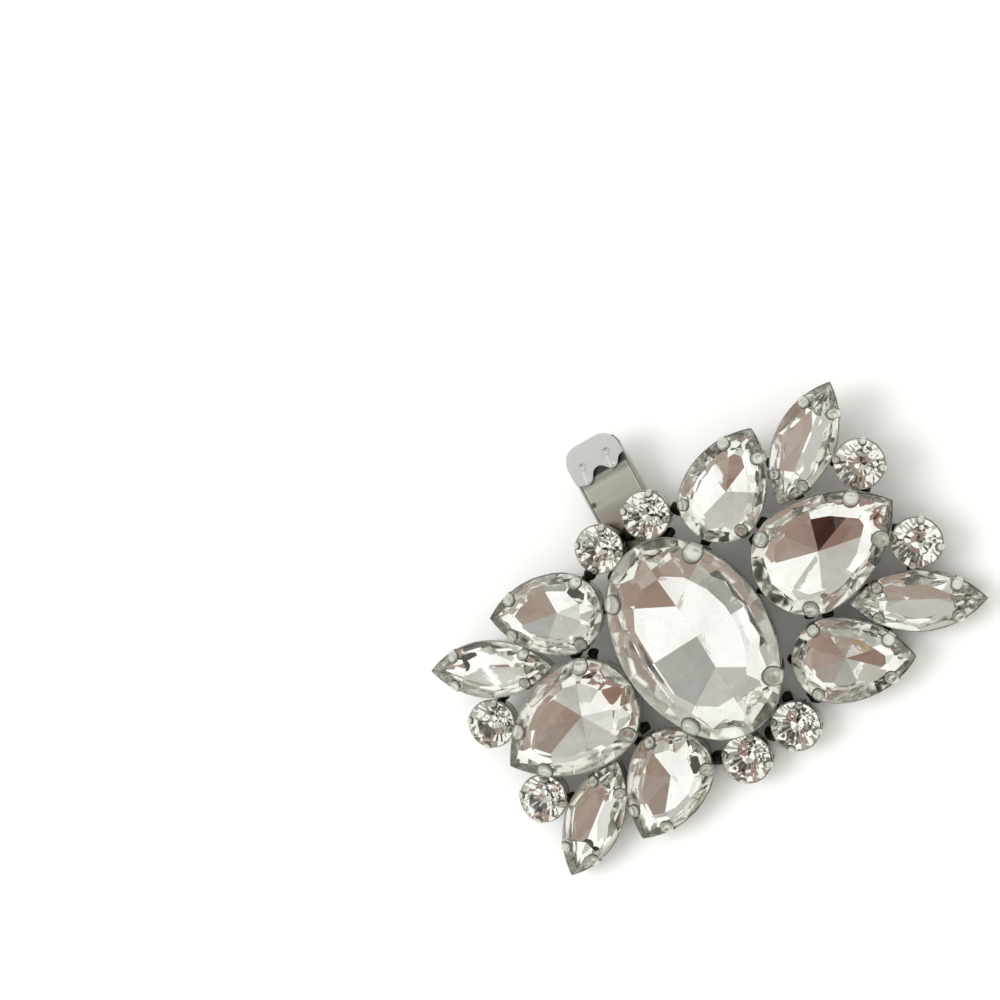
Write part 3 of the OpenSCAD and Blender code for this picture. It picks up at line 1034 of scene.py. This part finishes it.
def flange_outline():
    """A lever's flange: a lug round the pin, a narrow strip and a sloping end."""
    low = sheet_z - flange_depth
    high = sheet_z + sheet_t - 2 * seam
    end = lip_y + flange_slope
    return (arc_points(0, 0, lug_r, 90, 270, lug_steps)
            + [(lug_foot, -lug_foot), (2 * heel_y, low), (lip_y - flange_slope, low),
               (end, sheet_z), (end, high), (heel_y, high)])


def lever_mesh():
    """A sheet with flanges, a tip folded back into the lip, ribs, dents and teeth."""
    sheet_top = sheet_z + sheet_t
    sheet = slab([(groove_x, heel_y), (groove_x, fold_y), (-groove_x, fold_y), (-groove_x, heel_y)],
                 sheet_z, sheet_top, sheet_soft, AT_PIN)
    parts = [slab(tip_outline(tip_start), sheet_z, sheet_top, tip_soft, AT_PIN)]
    for side in (-1, 1):
        parts.append(cheek(flange_outline(), side * flange_x, flange_soft))
    parts.append(slab(lip_outline(), lip_top - lip_t, lip_top, lip_soft, AT_PIN))
    parts.append(slab(fold_outline(), sheet_z + 2 * seam, lip_top - seam, fold_soft, AT_PIN))
    cuts = [pin_hole(lever_hole_gap, lever_w)]
    for start, end in RIBS:
        run = Vector(end) - Vector(start)
        at_lobe = (AT_PIN @ Matrix.Translation((*start, lip_top))
                   @ Matrix.Rotation(math.atan2(-run.x, run.y), 4, "Z"))
        sunk = at_lobe @ Matrix.Translation((0, 0, rib_rise - rib_r))
        parts.append(cone(rib_r, rib_end_r, run.length, sunk @ Matrix.Rotation(-math.pi / 2, 4, "X")))
        parts.append(ball(rib_r, sunk))
        cuts.append(ball(dent_r, at_lobe @ Matrix.Translation((0, run.length, dent_r - dent_depth))))
    for side in (-1, 1):
        tooth = (AT_PIN @ Matrix.Translation((side * tooth_x, tooth_y, sheet_z + tooth_root))
                 @ Matrix.Rotation(math.pi, 4, "X"))
        parts.append(cone(tooth_r, tooth_tip_r, tooth_h + tooth_root, tooth))
    whole = combine(sheet, parts, "UNION")
    return smooth_out(combine(whole, cuts, "DIFFERENCE"), lever_sharp)


# Parts of the setting, with the angle past which edges stay sharp and the full rise
SETTING = [("cups", make_cups, 40, 4.5), ("claws", make_claws, 60, 3), ("solder", make_solder, 180, 4)]

make_stones()
for part, make, sharp_degrees, full_rise in SETTING:
    place("setting_" + part, finish_mesh(make(), part, sharp_degrees, full_rise), LYING, "ornament",
          "setting_metal", [setting_metal], "setting_frame")
place("base_plate", base_mesh(), LYING @ IN_CLIP, "ornament", "clip_metal", [clip_metal],
      "clip_base")
place("pin", pin_mesh(), LYING @ IN_CLIP, frame_body("hinge_pin"), "clip_metal", [clip_metal],
      "hinge_pin")
place("lever", lever_mesh(), LYING @ IN_CLIP, "lever", "clip_metal", [clip_metal], "clip_lever")


# Stage

def staged(name, body, material):
    mesh = to_mesh(body, name)
    mesh.materials.append(material)
    thing = new_object(name, mesh)
    return thing


floor_half = 1.5


def make_floor():
    """A pale floor that is see-through from below."""
    body = bmesh.new()
    bmesh.ops.create_grid(body, x_segments=1, y_segments=1, size=floor_half)
    material, tree, shader = new_material("floor_white", (0.9, 0.9, 0.9), 0, 0.6)
    shader.inputs["Specular IOR Level"].default_value = 0
    side = tree.nodes.new("ShaderNodeNewGeometry")
    clear = tree.nodes.new("ShaderNodeBsdfTransparent")
    pick = tree.nodes.new("ShaderNodeMixShader")
    tree.links.new(side.outputs["Backfacing"], pick.inputs[0])
    tree.links.new(shader.outputs[0], pick.inputs[1])
    tree.links.new(clear.outputs[0], pick.inputs[2])
    tree.links.new(pick.outputs[0], tree.nodes["Material Output"].inputs["Surface"])
    floor = staged("floor", body, material)
    floor.location.z = cad_box[0].z


def glow(name, colour, strength):
    material = bpy.data.materials.new(name)
    material.use_nodes = True
    tree = material.node_tree
    tree.nodes.clear()
    light = tree.nodes.new("ShaderNodeEmission")
    light.inputs["Color"].default_value = (*colour, 1)
    light.inputs["Strength"].default_value = strength
    out = tree.nodes.new("ShaderNodeOutputMaterial")
    tree.links.new(light.outputs[0], out.inputs["Surface"])
    return material


def toward(azimuth, elevation):
    a = math.radians(azimuth)
    e = math.radians(elevation)
    return Vector((math.cos(a) * math.cos(e), math.sin(a) * math.cos(e), math.sin(e)))


# Distances of the cards in metres. The table cards are a little behind the near ones.
dome_away = 1.3
horizon_away = 1.1
near = 0.15
table_away = near + 0.01
card_steps = 12
table_dark = (0.1, 0.09, 0.08)
# The near cards: name, azimuths and elevations in degrees, colour
NEAR_CARDS = [
    ("grey_card_1", (12, 75), (65, 86), (0.45, 0.45, 0.43)),
    ("grey_card_2", (75, 112), (66, 86), (0.58, 0.57, 0.53)),
    ("pale_card_1", (29.5, 100), (38, 64.5), (0.62, 0.6, 0.57)),
    ("pale_card_2", (101, 152), (42, 62), (0.6, 0.57, 0.54)),
    ("pale_card_3", (152, 171), (29, 42), (0.8, 0.8, 0.77)),
    ("pale_card_4", (236.2, 243.5), (20, 46), (0.6, 0.57, 0.54)),
    ("pale_card_5", (199.5, 211), (27, 37), (0.68, 0.68, 0.65)),
    ("pale_card_6", (120, 134), (22, 41.9), (0.6, 0.57, 0.54)),
    ("pale_card_7", (124, 141), (62.3, 72), (0.6, 0.58, 0.52)),
    ("high_card_1", (308, 372), (65.5, 84), (0.34, 0.26, 0.22)),
    ("high_card_2", (289, 307.8), (61, 74), (0.4, 0.31, 0.27)),
    ("yellow_card", (202.5, 210), (37.1, 42.9), (0.42, 0.31, 0.2)),
    ("olive_card", (226, 240), (60, 70), (0.22, 0.19, 0.14)),
    ("brown_card_1", (244, 258), (8, 60), (0.42, 0.34, 0.29)),
    ("brown_card_2", (258.2, 287), (5, 64), (0.36, 0.26, 0.215)),
    ("brown_card_3", (301, 327), (15, 60), (0.42, 0.33, 0.28)),
    ("brown_card_4", (172, 213), (43, 55.5), (0.32, 0.2, 0.165)),
    ("brown_card_5", (333, 343.2), (54, 65), (0.42, 0.38, 0.34)),
    ("maroon_card", (220, 233), (24, 54), (0.05, 0.016, 0.012)),
]


def card(name, azimuths, elevations, distance, colour, strength=1.0):
    """A curved card that only reflections see, between two azimuths and two elevations."""
    body = bmesh.new()
    rows = []
    for i in range(card_steps + 1):
        e = elevations[0] + (elevations[1] - elevations[0]) * i / card_steps
        row = []
        for k in range(card_steps + 1):
            a = azimuths[0] + (azimuths[1] - azimuths[0]) * k / card_steps
            row.append(body.verts.new(distance * toward(a, e)))
        rows.append(row)
    for i in range(card_steps):
        for k in range(card_steps):
            body.faces.new((rows[i][k], rows[i][k + 1], rows[i + 1][k + 1], rows[i + 1][k]))
    thing = staged(name, body, glow(name, colour, strength))
    thing.visible_camera = False
    thing.visible_diffuse = False
    thing.visible_shadow = False


def make_cards():
    card("white_dome", (0, 360), (-5, 89.9), dome_away, (1, 1, 0.99), 1.15)
    card("horizon_card", (0, 360), (-4, 14), horizon_away, (0.5, 0.51, 0.45))
    card("table_card_1", (160, 290), (66.5, 86), table_away, table_dark)
    card("table_card_2", (197, 250), (61.5, 66.5), table_away, table_dark)
    for name, azimuths, elevations, colour in NEAR_CARDS:
        card(name, azimuths, elevations, near, colour)


key_from = toward(150, 55)
key_away = 0.8
key_size = 0.5
key_watts = 2.4
key_colour = (0.97, 0.98, 1)
room_colour = (1, 0.985, 0.94, 1)
room_strength = 1.04


def make_light():
    """A wide soft key light and a dimmer warm room."""
    data = bpy.data.lights.new("key", "AREA")
    data.shape = "DISK"
    data.size = key_size
    data.energy = key_watts
    data.color = key_colour
    key = new_object("key", data)
    key.location = key_away * key_from
    key.rotation_mode = "QUATERNION"
    key.rotation_quaternion = key_from.to_track_quat("Z", "Y")
    key.visible_glossy = False
    key.visible_transmission = False
    world = bpy.data.worlds.new("studio")
    bpy.context.scene.world = world
    world.use_nodes = True
    room = world.node_tree.nodes["Background"]
    room.inputs["Color"].default_value = room_colour
    room.inputs["Strength"].default_value = room_strength


make_floor()
make_cards()
make_light()


# Camera, from a fit of the stones' outlines in the photograph
camera_place = Vector((49.5, 2.81, 209.65))
camera_aim = Vector((-10.06, 26.74, 3))
camera_up = Vector((0.5771, 0.8135, -0.0721))
focal_px = 1800
image_px = 1000
sensor_mm = 36


def make_camera():
    data = bpy.data.cameras.new("camera")
    camera = new_object("camera", data)
    data.sensor_width = sensor_mm
    data.lens = sensor_mm * focal_px / image_px
    data.clip_start = 0.001
    turn = LYING.to_3x3().normalized()
    back = (turn @ (camera_place - camera_aim)).normalized()
    right = (turn @ camera_up).cross(back).normalized()
    up = back.cross(right)
    rotation = Matrix((right, up, back)).transposed().to_4x4()
    camera.matrix_world = Matrix.Translation(LYING @ camera_place) @ rotation
    bpy.context.scene.camera = camera


make_camera()
bpy.context.scene.view_settings.view_transform = "Standard"
bpy.context.scene.cycles.max_bounces = 16
bpy.context.scene.cycles.glossy_bounces = 12
bpy.context.scene.cycles.transmission_bounces = 12
